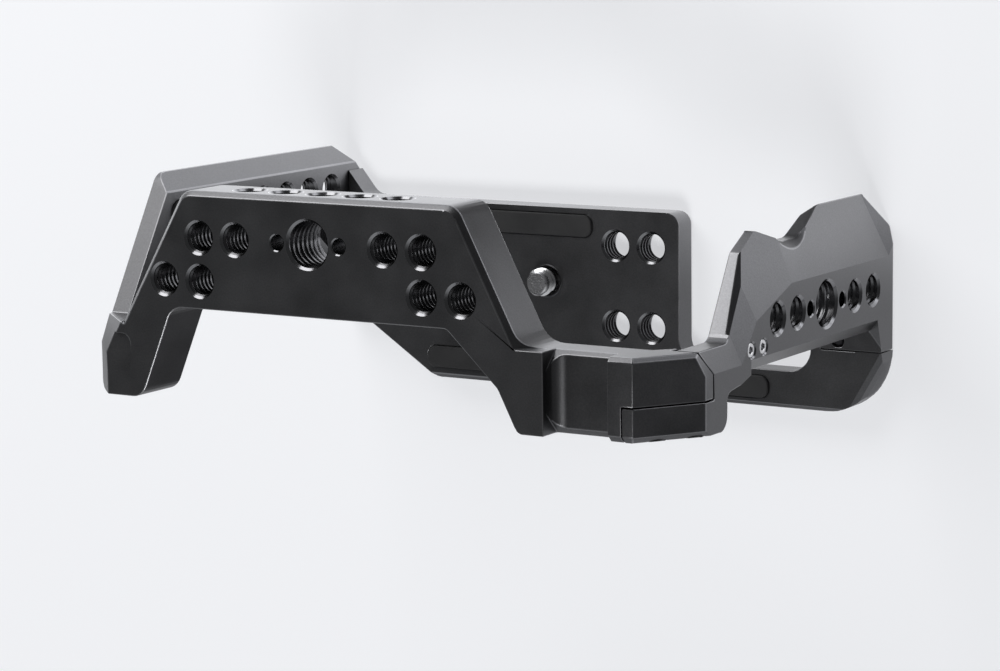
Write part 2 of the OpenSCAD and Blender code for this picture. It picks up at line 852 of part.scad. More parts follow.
module left_wall_pad() color(RUBBER) wall_pad(0, 0, pad_t);
module right_wall_pad() color(RUBBER) wall_pad(1, 0, pad_t);

module bridge_pad_at(grow, t)
    translate([0, -9.9, under_bridge + pad_sink])
        to_floor()
            pad(bridge_pad_size.x + grow, bridge_pad_size.y + grow, t);

module bridge_pad_pocket() bridge_pad_at(0.1, pad_t + 1);

module bridge_pad() color(RUBBER) bridge_pad_at(0, pad_t);

module base_pad(at, size, grow, t)
    translate([at.x, at.y, base_top - pad_sink])
        pad(size.x + grow, size.y + grow, t);

module base_pads(t) {
    base_pad(front_pad_at, front_pad_size, 0.1, t + 1);
    base_pad(rear_pad_at, rear_pad_size, 0.1, t + 1);
    base_pad(side_pad_at, side_pad_size, 0.1, t + 1);
}

module front_base_pad() color(RUBBER) base_pad(front_pad_at, front_pad_size, 0, pad_t);
module rear_base_pad() color(RUBBER) base_pad(rear_pad_at, rear_pad_size, 0, pad_t);
module battery_side_pad() color(RUBBER) base_pad(side_pad_at, side_pad_size, 0, pad_t);

// --- assembly -------------------------------------------------------------

// From the top mount's frame to the centre of the footprint
module place()
    translate([-(left_out + right_out) / 2, (base_rear - bridge_front) / 2, -base_under])
        children();

place() main_frame();
place() right_wall();
place() base_plate();
place() lug_set_screws();
place() arm_screws();
place() arm_dowel();
place() right_foot_screws();
place() left_foot_screws();
place() foot_dowels();
place() camera_screw();
place() screw_washer();
place() screw_ring();
place() bridge_pad();
place() left_wall_pad();
place() right_wall_pad();
place() front_base_pad();
place() rear_base_pad();
place() battery_side_pad();
place() hex_key();
place() key_magnets();
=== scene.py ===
import json
import math

import bmesh
import bpy
from mathutils import Matrix, Vector
from mathutils.bvhtree import BVHTree
from mathutils.geometry import intersect_point_line


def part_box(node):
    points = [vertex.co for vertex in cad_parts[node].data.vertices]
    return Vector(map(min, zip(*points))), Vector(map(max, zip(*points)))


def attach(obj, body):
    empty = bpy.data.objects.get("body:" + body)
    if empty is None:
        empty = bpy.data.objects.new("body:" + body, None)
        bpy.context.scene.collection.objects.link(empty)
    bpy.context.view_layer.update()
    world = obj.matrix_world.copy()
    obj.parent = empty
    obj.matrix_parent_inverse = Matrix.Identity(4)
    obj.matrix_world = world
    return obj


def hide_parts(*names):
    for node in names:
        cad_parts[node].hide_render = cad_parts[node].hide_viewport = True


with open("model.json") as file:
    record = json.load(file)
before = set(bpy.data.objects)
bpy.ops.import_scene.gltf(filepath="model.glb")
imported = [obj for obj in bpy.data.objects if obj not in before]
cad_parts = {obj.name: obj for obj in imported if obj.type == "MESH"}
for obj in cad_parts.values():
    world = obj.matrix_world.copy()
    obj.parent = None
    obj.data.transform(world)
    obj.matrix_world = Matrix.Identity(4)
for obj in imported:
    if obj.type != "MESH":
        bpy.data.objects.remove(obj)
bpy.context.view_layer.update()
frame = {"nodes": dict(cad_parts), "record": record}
scene = bpy.context.scene
mm = 0.001

# ---------------------------------------------------------------- the room
# A pale floor under the cage, a soft grey room round it that is darkest overhead, and soft
# lamps. The dark ceiling is what the cage's top faces mirror, and the floor is what its sides
# mirror, so each milled face keeps its own tone. What the metal mirrors in the floor is painted.
# It sees a painted reflection level, brighter on the lens side, with two painted dark pools and
# a fade with distance, in place of the floor as lit.

camera_data = bpy.data.cameras.new("camera")
camera_data.sensor_width = 36
camera_data.lens = 114.13
camera = bpy.data.objects.new("camera", camera_data)
scene.collection.objects.link(camera)
to_image_right = Vector((0.8540021853, -0.0128658114, -0.5201103136))
to_image_top = Vector((-0.0692619218, 0.9879844191, -0.1381650238))
back_from_cage = Vector((0.5156384912, 0.1540170721, 0.8428497422))
turn = Matrix((to_image_right, to_image_top, back_from_cage)).transposed()
place = Vector((349.2333, 96.2544, 617.4336)) * mm
camera.matrix_world = Matrix.Translation(place) @ turn.to_4x4()
scene.camera = camera

scene.view_settings.view_transform = "Standard"

floor_tone = (0.96, 0.97, 1.0, 1)
room_tone = (0.89, 0.895, 0.91, 1)
floor_own_light = 0.56
mirrored_level = 0.84
# Painted reflection in the floor, seen by glossy rays only: an extra level on the lens side and
# two dark pools.
painted_lens_side_glow, lens_side = 1.5, (-5 * mm, 30 * mm)
painted_dark_pools = (((58, 98, 0), 48, 84, 0.05), ((-10, -85, 0), 30, 80, 0.12))
fade_start, fade_end, faded_level = 0.25, 0.8, 0.12
shade_level = 0.10
rear_level, rear_way = 0.75, (-0.35, -0.9, 0.25)

bpy.ops.object.select_all(action="DESELECT")
bpy.ops.mesh.primitive_plane_add(size=30, location=(0, 0, -0.3 * mm))
floor = bpy.context.object
floor.name = "floor"
floor.visible_shadow = False
paper = bpy.data.materials.new("floor_paper")
paper.use_nodes = True
nodes, links = paper.node_tree.nodes, paper.node_tree.links
nodes.clear()


def math_node(nodes, links, operation, first, second):
    """A Math node on two sockets or numbers. Gives its output."""
    node = nodes.new("ShaderNodeMath")
    node.operation = operation
    for slot, value in enumerate((first, second)):
        if isinstance(value, (int, float)):
            node.inputs[slot].default_value = value
        else:
            links.new(value, node.inputs[slot])
    return node.outputs[0]


def spread(nodes, links, value, low, high, to_low, to_high, shape="LINEAR"):
    """A Map Range node from low..high to to_low..to_high. Gives its output."""
    node = nodes.new("ShaderNodeMapRange")
    node.interpolation_type = shape
    links.new(value, node.inputs["Value"])
    node.inputs["From Min"].default_value = low
    node.inputs["From Max"].default_value = high
    node.inputs["To Min"].default_value = to_low
    node.inputs["To Max"].default_value = to_high
    return node.outputs["Result"]


matt = nodes.new("ShaderNodeBsdfDiffuse")
matt.inputs["Color"].default_value = (0.44, 0.445, 0.455, 1)
glow = nodes.new("ShaderNodeEmission")
glow.inputs["Color"].default_value = floor_tone
rays = nodes.new("ShaderNodeLightPath")
direct = math_node(nodes, links, "MAXIMUM", rays.outputs["Is Camera Ray"],
                  rays.outputs["Is Transmission Ray"])
links.new(math_node(nodes, links, "MULTIPLY", direct, floor_own_light), glow.inputs["Strength"])
both = nodes.new("ShaderNodeAddShader")
links.new(matt.outputs[0], both.inputs[0])
links.new(glow.outputs[0], both.inputs[1])

side = nodes.new("ShaderNodeNewGeometry")
along = nodes.new("ShaderNodeSeparateXYZ")
links.new(side.outputs["Position"], along.inputs[0])
# Painted reflection: glossy rays see this level in place of the lit floor.
painted_reflection_level = spread(nodes, links, along.outputs["Y"], *lens_side, mirrored_level,
                      mirrored_level + painted_lens_side_glow, "SMOOTHSTEP")
for middle, inner, outer, least in painted_dark_pools:
    apart = nodes.new("ShaderNodeVectorMath")
    apart.operation = "DISTANCE"
    links.new(side.outputs["Position"], apart.inputs[0])
    apart.inputs[1].default_value = Vector(middle) * mm
    pool = spread(nodes, links, apart.outputs["Value"], inner * mm, outer * mm, least, 1,
                  "SMOOTHSTEP")
    painted_reflection_level = math_node(nodes, links, "MULTIPLY", painted_reflection_level, pool)
away = nodes.new("ShaderNodeVectorMath")
away.operation = "LENGTH"
links.new(side.outputs["Position"], away.inputs[0])
fading = spread(nodes, links, away.outputs["Value"], fade_start, fade_end, 1, faded_level,
                "SMOOTHSTEP")
painted_reflection_level = math_node(nodes, links, "MULTIPLY", painted_reflection_level, fading)
painted_reflection = nodes.new("ShaderNodeEmission")
painted_reflection.inputs["Color"].default_value = floor_tone
links.new(painted_reflection_level, painted_reflection.inputs["Strength"])
to_metal = nodes.new("ShaderNodeMixShader")
links.new(rays.outputs["Is Glossy Ray"], to_metal.inputs[0])
links.new(both.outputs[0], to_metal.inputs[1])
links.new(painted_reflection.outputs[0], to_metal.inputs[2])
clear = nodes.new("ShaderNodeBsdfTransparent")
one_way = nodes.new("ShaderNodeMixShader")
links.new(side.outputs["Backfacing"], one_way.inputs[0])
links.new(to_metal.outputs[0], one_way.inputs[1])
links.new(clear.outputs[0], one_way.inputs[2])
out = nodes.new("ShaderNodeOutputMaterial")
links.new(one_way.outputs[0], out.inputs["Surface"])
floor.data.materials.append(paper)

room = bpy.data.worlds.new("room")
scene.world = room
room.use_nodes = True
nodes, links = room.node_tree.nodes, room.node_tree.links
nodes.clear()
way = nodes.new("ShaderNodeTexCoord")
split = nodes.new("ShaderNodeSeparateXYZ")
links.new(way.outputs["Generated"], split.inputs[0])
rearward = nodes.new("ShaderNodeVectorMath")
rearward.operation = "DOT_PRODUCT"
rearward.inputs[1].default_value = rear_way
links.new(way.outputs["Generated"], rearward.inputs[0])
rear = spread(nodes, links, rearward.outputs["Value"], -0.1, 0.8, 0, rear_level, "SMOOTHSTEP")
low = spread(nodes, links, split.outputs["Z"], 0.30, 0.70, 1, 0, "SMOOTHSTEP")
above = spread(nodes, links, split.outputs["Z"], -0.01, 0.0, 0, 1)
level = math_node(nodes, links, "MULTIPLY", rear, low)
level = math_node(nodes, links, "ADD", level, shade_level)
level = math_node(nodes, links, "MULTIPLY", level, above)
lit = nodes.new("ShaderNodeBackground")
lit.inputs["Color"].default_value = (0.96, 0.98, 1, 1)
links.new(level, lit.inputs["Strength"])
backdrop = nodes.new("ShaderNodeBackground")
backdrop.inputs["Color"].default_value = room_tone
rays = nodes.new("ShaderNodeLightPath")
pick = nodes.new("ShaderNodeMixShader")
links.new(rays.outputs["Is Camera Ray"], pick.inputs[0])
links.new(lit.outputs[0], pick.inputs[1])
links.new(backdrop.outputs[0], pick.inputs[2])
out = nodes.new("ShaderNodeOutputWorld")
links.new(pick.outputs[0], out.inputs["Surface"])


def lamp(name, kind, toward, strength, size, distance=0.9):
    """A lamp that stands in the direction given, and shines at the middle of the cage."""
    data = bpy.data.lights.new(name, kind)
    data.energy = strength
    if kind == "SUN":
        data.angle = size
    else:
        data.shape = "DISK"
        data.size = size
    holder = bpy.data.objects.new(name, data)
    toward = Vector(toward).normalized()
    holder.location = Vector((0, 0, 50 * mm)) + toward * distance
    holder.rotation_mode = "QUATERNION"
    holder.rotation_quaternion = toward.to_track_quat("Z", "Y")
    scene.collection.objects.link(holder)
    return holder


lamp("lens_side_box", "AREA", (-0.50, 0.78, 0.38), 6.0, 0.75)
lamp("ceiling", "SUN", (0.1, -0.5, 0.85), 1.2, math.radians(20))
lamp("under_lamp", "AREA", (-0.1, 0.1, -1), 3, 0.5)

# ------------------------------------------------- main frame, milled metal
# The bridge over the camera, the left wall and the right arm, milled from one block of
# aluminium, bead-blasted and anodised black. The blasting leaves a fine satin grain. The broken
# edges and the hole mouths get lighter, smoother copies of the finish, partly worn, thinner
# anodising and partly a painted highlight.

edge_break = 0.22 * mm
sharp = math.radians(22)
low_angle, flat_area = math.radians(6), 9 * mm * mm
short_edge, any_edge, beside_edge = 3 * mm, 1, 1.5 * edge_break
merged, merged_after_cut = 0.03 * mm, 0.06 * mm
mouth_margin, mouth_reach = 0.6 * mm, 12 * mm
lug_screw_y, lug_screw_heights = -3.3, (66.7, 61.5)
lug_mouth_x, lug_mouth_r = 70.35, 1.6 * mm
skin_slot, edge_and_highlight_slot, bore_slot, mouth_slot = range(4)


def anodised(name, tone, rough, grain):
    """Black anodised aluminium: base tone, roughness and depth of the blasted grain."""
    metal = bpy.data.materials.new(name)
    metal.use_nodes = True
    nodes, links = metal.node_tree.nodes, metal.node_tree.links
    skin = nodes["Principled BSDF"]
    skin.inputs["Metallic"].default_value = 1.0
    at = nodes.new("ShaderNodeTexCoord")
    cloud = nodes.new("ShaderNodeTexNoise")
    cloud.inputs["Scale"].default_value = 90
    cloud.inputs["Detail"].default_value = 4
    links.new(at.outputs["Object"], cloud.inputs["Vector"])
    fine = nodes.new("ShaderNodeTexNoise")
    fine.inputs["Scale"].default_value = 3200
    fine.inputs["Detail"].default_value = 3
    links.new(at.outputs["Object"], fine.inputs["Vector"])
    tint = spread(nodes, links, cloud.outputs["Fac"], 0.3, 0.7, tone * 0.92, tone * 1.08)
    speck = spread(nodes, links, fine.outputs["Fac"], 0.3, 0.7, 0.9, 1.1)
    grey = math_node(nodes, links, "MULTIPLY", tint, speck)
    colour = nodes.new("ShaderNodeCombineColor")
    links.new(grey, colour.inputs["Red"])
    links.new(grey, colour.inputs["Green"])
    links.new(math_node(nodes, links, "MULTIPLY", grey, 1.04), colour.inputs["Blue"])
    links.new(colour.outputs["Color"], skin.inputs["Base Color"])
    gloss = spread(nodes, links, cloud.outputs["Fac"], 0.3, 0.7, rough - 0.03, rough + 0.03)
    links.new(gloss, skin.inputs["Roughness"])
    bump = nodes.new("ShaderNodeBump")
    bump.inputs["Strength"].default_value = 0.6
    bump.inputs["Distance"].default_value = grain
    links.new(fine.outputs["Fac"], bump.inputs["Height"])
    links.new(bump.outputs["Normal"], skin.inputs["Normal"])
    return metal


blasted = anodised("blasted_black", 0.10, 0.40, 0.03 * mm)
# Lighter, smoother copy of the finish on the broken edges: partly worn anodising, partly a
# painted highlight.
worn_edge_and_highlight = anodised("broken_edge_and_highlight", 0.17, 0.34, 0.01 * mm)
# Lighter, glossier copy of the finish on the hole mouths: partly the cut finish, partly a
# painted highlight.
mouth_cut_and_highlight = anodised("cut_mouth_and_highlight", 0.19, 0.18, 0.004 * mm)
cut_thread = anodised("cut_thread", 0.11, 0.24, 0.004 * mm)

mouths = []
for mount in frame["record"]["mounts"]:
    dims = mount["dims"]
    centre, axis = Vector(mount["pos_m"]), Vector(mount.get("axis") or (0, 0, 1))
    if mount["kind"] == "threaded_hole":
        mouths.append((centre, axis, dims["r_mm"] * mm))
    if mount["kind"] == "bolt_pattern":
        apart = Vector((0, 0, 1)) if abs(axis.x) > 0.5 else Vector((1, 0, 0))
        half = dims.get("spacing_x_mm", dims.get("spacing_y_mm")) / 2 * mm
        for way in (-1, 1):
            mouths.append((centre + way * half * apart, axis, dims["hole_r_mm"] * mm))
for height in lug_screw_heights:
    mouths.append((Vector((lug_mouth_x, lug_screw_y, height)) * mm, Vector((1, 0, 0)),
                   lug_mouth_r))


def near_mouth(point):
    """The hole whose mouth a point lies at: its axis, its radius and the way straight from
    the axis to the point. None where there is no such hole."""
    for centre, axis, radius in mouths:
        along = (point - centre).dot(axis)
        across = point - centre - along * axis
        if across.length < radius + mouth_margin and abs(along) < mouth_reach:
            return axis, radius, across
    return None


def take(piece):
    """Makes the piece the only one selected."""
    bpy.ops.object.select_all(action="DESELECT")
    piece.select_set(True)
    bpy.context.view_layer.objects.active = piece


def smooth(piece):
    """Smooth shading that keeps the flats flat, also where two of them meet at a low angle."""
    take(piece)
    bpy.ops.object.shade_smooth_by_angle(angle=sharp)
    bpy.ops.object.mode_set(mode="EDIT")
    shape = bmesh.from_edit_mesh(piece.data)
    planes, areas = {}, {}
    for face in shape.faces:
        height = face.normal.dot(face.calc_center_median()) / mm
        plane = (*(round(c, 2) for c in face.normal), round(height, 1), face.material_index)
        planes[face.index] = plane
        areas[plane] = areas.get(plane, 0) + face.calc_area()
    for edge in shape.edges:
        if edge.is_manifold and edge.calc_face_angle() > low_angle:
            sides = [planes[face.index] for face in edge.link_faces]
            if all(areas[side] > flat_area and side[-1] == skin_slot for side in sides):
                edge.smooth = False
    bmesh.update_edit_mesh(piece.data)
    bpy.ops.object.mode_set(mode="OBJECT")
    flats = piece.modifiers.new("flats", "WEIGHTED_NORMAL")
    flats.keep_sharp = True
    flats.weight = 100
    bpy.ops.object.modifier_apply(modifier="flats")


def cut_away(piece, cutter):
    """Takes the cutter's shape out of the piece."""
    cut = piece.modifiers.new("cut", "BOOLEAN")
    cut.operation = "DIFFERENCE"
    cut.object = cutter
    take(piece)
    bpy.ops.object.modifier_apply(modifier="cut")
    bpy.data.objects.remove(cutter)


def merge_points(piece, gap):
    """Makes one of all points that lie this near to each other."""
    take(piece)
    bpy.ops.object.mode_set(mode="EDIT")
    bpy.ops.mesh.select_all(action="SELECT")
    bpy.ops.mesh.remove_doubles(threshold=gap)
    bpy.ops.object.mode_set(mode="OBJECT")


def sharp_edges(piece):
    """The sharp edges away from the mouths, by number, each with its two ends."""
    take(piece)
    bpy.ops.object.mode_set(mode="EDIT")
    shape = bmesh.from_edit_mesh(piece.data)
    edges = {edge.index: [end.co.copy() for end in edge.verts] for edge in shape.edges
             if edge.is_manifold and edge.calc_face_angle() > sharp
             and not all(near_mouth(end.co) for end in edge.verts)}
    bpy.ops.object.mode_set(mode="OBJECT")
    return edges


def break_edges(piece, edges, low, high):
    """Breaks these edges, within the box from low to high."""
    take(piece)
    bpy.ops.object.mode_set(mode="EDIT")
    bpy.ops.mesh.select_mode(type="EDGE")
    bpy.ops.mesh.select_all(action="DESELECT")
    shape = bmesh.from_edit_mesh(piece.data)
    shape.edges.ensure_lookup_table()
    for index in edges:
        shape.edges[index].select_set(True)
    bmesh.update_edit_mesh(piece.data)
    bpy.ops.mesh.bevel(offset=edge_break, segments=2, affect="EDGES", clamp_overlap=False,
                       miter_outer="ARC", material=edge_and_highlight_slot)
    bpy.ops.object.mode_set(mode="OBJECT")
    for point in piece.data.vertices:
        point.co = [min(max(c, least), most) for c, least, most in zip(point.co, low, high)]


def folded_corners(piece, sides):
    """Where the faces have their corners that look away from the nearest of the sides."""
    corners = set()
    for face in piece.data.polygons:
        if sides.find_nearest(face.center)[1].dot(face.normal) < -0.3:
            corners.update(face.vertices)
    return [piece.data.vertices[corner].co.copy() for corner in corners]


def milled(node, name, chamfer=None):
    """The node's shape with every edge broken, except at the mouths of the holes and where
    it would fold over its neighbours. The chamfer is a block that takes one edge off first."""
    piece = bpy.data.objects.new(name, frame["nodes"][node].data.copy())
    scene.collection.objects.link(piece)
    piece.data.materials.clear()
    for finish in (blasted, worn_edge_and_highlight, cut_thread, mouth_cut_and_highlight):
        piece.data.materials.append(finish)
    take(piece)
    bpy.ops.mesh.customdata_custom_splitnormals_clear()
    merge_points(piece, merged)
    if chamfer:
        cut_away(piece, chamfer)
        merge_points(piece, merged_after_cut)

    bare = piece.data.copy()
    sides = BVHTree.FromPolygons([point.co for point in bare.vertices],
                                 [face.vertices for face in bare.polygons])
    edges = sharp_edges(piece)
    for longest in [short_edge] * 3 + [any_edge] * 3:
        used, piece.data = piece.data, bare.copy()
        bpy.data.meshes.remove(used)
        break_edges(piece, edges, *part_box(node))
        folded = folded_corners(piece, sides)
        if not folded:
            break
        for corner in folded:
            for index, (start, end) in list(edges.items()):
                along = intersect_point_line(corner, start, end)[1]
                apart = start.lerp(end, min(max(along, 0), 1)) - corner
                if (end - start).length < longest and apart.length < beside_edge:
                    del edges[index]
    bpy.data.meshes.remove(bare)

    for face in piece.data.polygons:
        if hole := near_mouth(face.center):
            axis, radius, across = hole
            tilt = abs(face.normal.dot(axis))
            if tilt < 0.1 and across.length < radius * 1.02:
                face.material_index = bore_slot
            elif 0.5 < tilt < 0.9 and across.dot(face.normal) < 0:
                face.material_index = mouth_slot
    smooth(piece)
    return piece


leg_edge_start, leg_edge_length, leg_chamfer = Vector((-44.71, 24.52, 100)), 30.6, 1.1
leg_edge_way, leg_edge_out = Vector((-0.505, -0.863, 0)), Vector((-0.863, 0.505, 0))
block_side, overrun = 3, 0.02
bpy.ops.object.select_all(action="DESELECT")
bpy.ops.mesh.primitive_cube_add(size=1)
leg_block = bpy.context.object
block_size = Vector((leg_edge_length + overrun, block_side, block_side))
facing = (leg_edge_out + Vector((0, 0, 1))).normalized()
middle = (leg_edge_start + leg_edge_way * (leg_edge_length - overrun) / 2
          + facing * (block_size.z / 2 - leg_chamfer / math.sqrt(2)))
axes = Matrix((leg_edge_way, facing.cross(leg_edge_way), facing)).transposed().to_4x4()
leg_block.data.transform(Matrix.Translation(middle * mm) @ axes
                         @ Matrix.Diagonal(block_size * mm).to_4x4())

bridge = milled("main_frame", "bridge_and_left_wall", leg_block)
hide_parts("main_frame")
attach(bridge, "cage")

# ------------------------------------------------------------------ threads
# The tapped holes have 1/4 inch threads of 20 turns to the inch and 3/8 inch threads of 16
# turns to the inch. Each thread is one helical ridge of 60 degrees, cut by the tap, that
# runs out at both ends and stands on the wall of its bore.

steps = 30
mouth_cone, cone_margin = 0.5 * mm, 0.3 * mm
crest_width, base_width, thread_ends = 0.10, 0.86, 0.9
run_out, end_turn = 0.2, math.radians(40)
sunk_base, sunk_end = 0.05 * mm, 0.04 * mm


def helix(root, crest, pitch, length, mouth=0):
    """A ridge along Z, centred on the origin, from the radius root to the radius crest. In a
    bore, it runs on into the cones at both ends, which are as deep as the mouth. The widths
    are shares of the pitch, and the ridge runs out over a share of a turn."""
    inward = -1 if crest < root else 1
    reach = length + 2 * mouth - (cone_margin if mouth else 0)
    turns = reach / pitch - thread_ends
    bpy.ops.object.select_all(action="DESELECT")
    bpy.ops.mesh.primitive_plane_add(size=1, rotation=(math.pi / 2, 0, 0))
    ridge = bpy.context.object
    bpy.ops.object.transform_apply(location=False, rotation=True, scale=False)
    for corner in ridge.data.vertices:
        at_crest = corner.co.x * inward > 0
        corner.co.x = crest if at_crest else root - inward * sunk_base
        corner.co.z *= pitch * (crest_width if at_crest else base_width)
        corner.co.z -= (turns * pitch) / 2
    winding = ridge.modifiers.new("winding", "SCREW")
    winding.axis = "Z"
    winding.angle = math.tau * turns
    winding.screw_offset = pitch * turns
    winding.steps = winding.render_steps = round(steps * turns)
    winding.use_merge_vertices = False
    bpy.ops.object.modifier_apply(modifier="winding")
    ridge.data.transform(Matrix.Rotation(-math.tau * turns - end_turn, 4, "Z"))
    sunk = root - inward * sunk_end
    for point in ridge.data.vertices:
        radius = math.hypot(point.co.x, point.co.y)
        end = min(point.index // 4, round(steps * turns) - point.index // 4) / steps
        new = radius
        past_bore = max(0, abs(point.co.z) - length / 2)
        if abs(radius - crest) < 0.2 * abs(root - crest):
            if end < run_out:
                new = sunk + (crest - sunk) * max(end, 0) / run_out
            if mouth:
                new = max(new, root - cone_margin + past_bore)
        elif mouth:
            new += past_bore
        point.co.x *= new / radius
        point.co.y *= new / radius
    bpy.ops.object.mode_set(mode="EDIT")
    bpy.ops.mesh.select_all(action="SELECT")
    bpy.ops.mesh.remove_doubles(threshold=0.0005 * mm)
    bpy.ops.mesh.fill_holes(sides=0)
    bpy.ops.mesh.normals_make_consistent(inside=False)
    bpy.ops.object.mode_set(mode="OBJECT")
    bpy.ops.object.shade_smooth_by_angle(angle=math.radians(35))
    return ridge


def tapped(name, mounts, pitch, depth):
    """Threads in all of these holes, which have one size, as one piece."""
    radius, length = (mounts[0]["dims"][key] * mm for key in ("r_mm", "length_mm"))
    pattern = helix(radius, radius - depth, pitch, length, mouth_cone)
    rows = []
    for mount in mounts:
        row = pattern.copy()
        row.data = pattern.data.copy()
        scene.collection.objects.link(row)
        axis = Vector(mount["axis"])
        turned = Vector((0, 0, 1)).rotation_difference(axis).to_matrix().to_4x4()
        row.data.transform(Matrix.Translation(Vector(mount["pos_m"])) @ turned)
        rows.append(row)
    bpy.data.objects.remove(pattern)
    take(rows[0])
    for row in rows:
        row.select_set(True)
    bpy.ops.object.join()
    thread = rows[0]
    thread.name = name
    thread.data.materials.append(cut_thread)
    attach(thread, "cage")
    return thread


holes = [m for m in frame["record"]["mounts"] if m["kind"] == "threaded_hole"]
quarter_pitch, quarter_depth = 25.4 / 20 * mm, 0.58 * mm
three_eighth_pitch, three_eighth_depth = 25.4 / 16 * mm, 0.76 * mm
for row in ("top", "front", "side", "left", "base"):
    small = [m for m in holes if m["name"].startswith(row + "_1_4")]
    large = [m for m in holes if m["name"].startswith(row + "_3_8")]
    if small:
        tapped(row + "_quarter_inch_threads", small, quarter_pitch, quarter_depth)
    if large:
        tapped(row + "_three_eighth_thread", large, three_eighth_pitch, three_eighth_depth)

# --------------------------------------------------------------- right wall
# The wall on the grip side, with its nose, finger scoop and hole row, milled and anodised like
# the main frame. Its tongue laps the arm and its foot laps the base plate. The slanted facet in
# front takes the lighter edge finish as a painted highlight.

facet_normal, facet_above = Vector((0, 0.51, 0.86)).normalized(), 60 * mm

right_wall = milled("right_wall", "grip_side_wall")
# Painted highlight: the slanted front facet gets the lighter edge finish.
for face in right_wall.data.polygons:
    if face.normal.dot(facet_normal) > 0.99 and face.center.z > facet_above:
        face.material_index = edge_and_highlight_slot
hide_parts("right_wall")
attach(right_wall, "cage")

# --------------------------------------------------------------- base plate
# The plate under the camera, milled and anodised like the walls, with the battery cut-out,
# the recess for the camera screw and the pocket for the hex key.

base_plate = milled("base_plate", "base")
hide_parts("base_plate")
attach(base_plate, "cage")

# ------------------------------------------------------- countersunk screws
# M3 screws of black oxide steel, with countersunk heads and hex sockets. Three go up through
# each end of the base plate into a wall's foot. Two go through the tongue into the arm, and
# their heads are dressed flush with its chamfer.

screw_head_r, screw_r, screw_root_r = 2.72, 1.5, 1.24
screw_pitch = 0.5


def machined(name, colour, rough, grain):
    """Machined steel: its colour, its roughness and the depth of its fine scratches."""
    metal = bpy.data.materials.new(name)
    metal.use_nodes = True
    nodes, links = metal.node_tree.nodes, metal.node_tree.links
    skin = nodes["Principled BSDF"]
    skin.inputs["Metallic"].default_value = 1.0
    at = nodes.new("ShaderNodeTexCoord")
    patches = nodes.new("ShaderNodeTexNoise")
    patches.inputs["Scale"].default_value = 260
    patches.inputs["Detail"].default_value = 5
    links.new(at.outputs["Object"], patches.inputs["Vector"])
    tones = nodes.new("ShaderNodeValToRGB")
    tones.color_ramp.elements[0].position = 0.3
    tones.color_ramp.elements[0].color = [0.82 * c for c in colour] + [1]
    tones.color_ramp.elements[1].position = 0.65
    tones.color_ramp.elements[1].color = [1.08 * c for c in colour] + [1]
    links.new(patches.outputs["Fac"], tones.inputs["Fac"])
    links.new(tones.outputs["Color"], skin.inputs["Base Color"])
    links.new(spread(nodes, links, patches.outputs["Fac"], 0.3, 0.7, rough + 0.06, rough - 0.04),
              skin.inputs["Roughness"])
    scratches = nodes.new("ShaderNodeTexNoise")
    scratches.inputs["Scale"].default_value = 2600
    scratches.inputs["Detail"].default_value = 2
    links.new(at.outputs["Object"], scratches.inputs["Vector"])
    bump = nodes.new("ShaderNodeBump")
    bump.inputs["Strength"].default_value = 0.5
    bump.inputs["Distance"].default_value = grain
    links.new(scratches.outputs["Fac"], bump.inputs["Height"])
    links.new(bump.outputs["Normal"], skin.inputs["Normal"])
    return metal


def turned(sides, profile):
    """A solid drawn up along Z from its lowest end: pairs of radius and height, in mm."""
    radius, height = profile[0]
    bpy.ops.object.select_all(action="DESELECT")
    bpy.ops.mesh.primitive_circle_add(vertices=sides, radius=radius * mm, fill_type="NGON",
                                      location=(0, 0, height * mm))
    solid = bpy.context.object
    bpy.ops.object.transform_apply(location=True, rotation=False, scale=False)
    bpy.ops.object.mode_set(mode="EDIT")
    for next_radius, next_height in profile[1:]:
        rise = (next_height - height) * mm
        bpy.ops.mesh.extrude_region_move(TRANSFORM_OT_translate={"value": (0, 0, rise)})
        bpy.ops.transform.resize(value=(next_radius / radius, next_radius / radius, 1))
        radius, height = next_radius, next_height
    bpy.ops.mesh.select_all(action="SELECT")
    bpy.ops.mesh.normals_make_consistent(inside=False)
    bpy.ops.object.mode_set(mode="OBJECT")
    return solid


def with_thread(piece, root, crest, pitch, low, high):
    """Joins a ridge to the piece from the height low to the height high, in mm."""
    ridge = helix(root * mm, crest * mm, pitch * mm, (high - low) * mm)
    ridge.data.transform(Matrix.Translation((0, 0, (low + high) / 2 * mm)))
    take(piece)
    ridge.select_set(True)
    bpy.ops.object.join()


def hex_socket(piece, corner_r, depth):
    """A hexagonal socket in the piece's lowest end, with a broken mouth, in mm."""
    cut_away(piece, turned(6, [(corner_r + 0.1, -0.5), (corner_r + 0.1, 0), (corner_r, 0.1),
                               (corner_r, depth - 0.3), (0.2, depth)]))


def countersunk(length):
    """A screw that points up, with its head's flat end at the origin."""
    screw = turned(48, [(screw_head_r - 0.08, 0), (screw_head_r, 0.08), (screw_r, 1.3),
                        (screw_r, 1.45), (screw_root_r, 1.7), (screw_root_r, length - 0.4),
                        (screw_root_r - 0.35, length)])
    hex_socket(screw, 1, 1.1)
    with_thread(screw, screw_root_r, screw_r, screw_pitch, 1.6, length - 0.2)
    return screw


